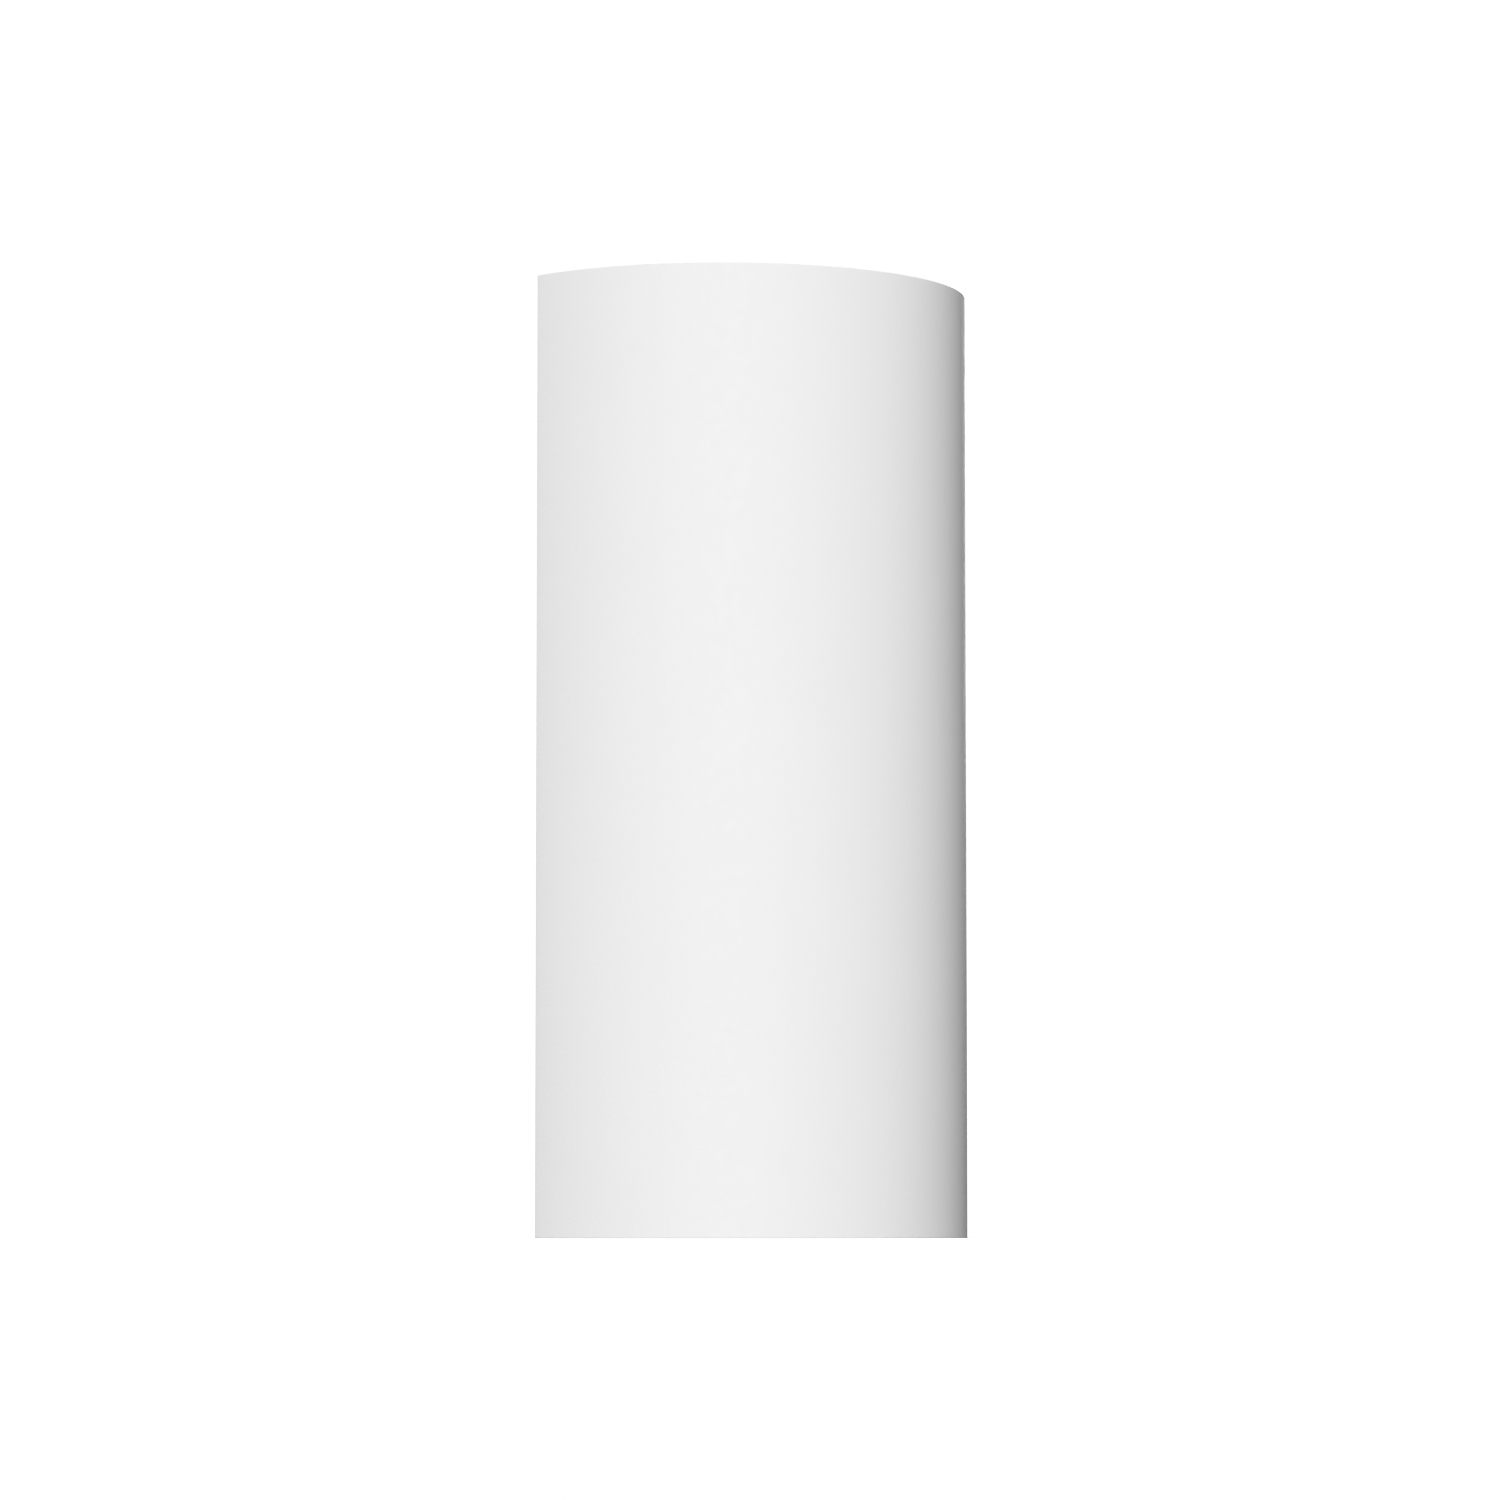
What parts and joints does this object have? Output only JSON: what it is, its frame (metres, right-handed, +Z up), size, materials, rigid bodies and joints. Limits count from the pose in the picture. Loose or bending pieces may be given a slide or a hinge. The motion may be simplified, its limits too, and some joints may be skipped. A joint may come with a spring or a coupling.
{
  "type": "half column shaft",
  "caption": "Plain smooth half-round column shaft, a moulded white shell open at the back and sawn square at both ends, for fixing to a wall.",
  "frame": {"origin": "floor level, in the middle of the footprint's width and depth: z = 0 is the lower sawn end, x = 0 the column's centre line, and y = 0 lies midway between the wall plane at y = +55 mm and the foremost line of the round face at y = -55 mm", "axes": "+Z up along the shaft, +Y towards the wall that it is fixed to, -Y the round front, +X to the right as seen from the front"},
  "size_m": [0.22, 0.11, 0.425],
  "materials": {
    "primed_polyurethane": "smooth matt white primer on rigid polyurethane foam; the pale foam itself shows on the sawn ends and in the open back"
  },
  "bodies": {
    "root": {"half_column_shaft": "primed_polyurethane"}
  },
  "joints": []
}
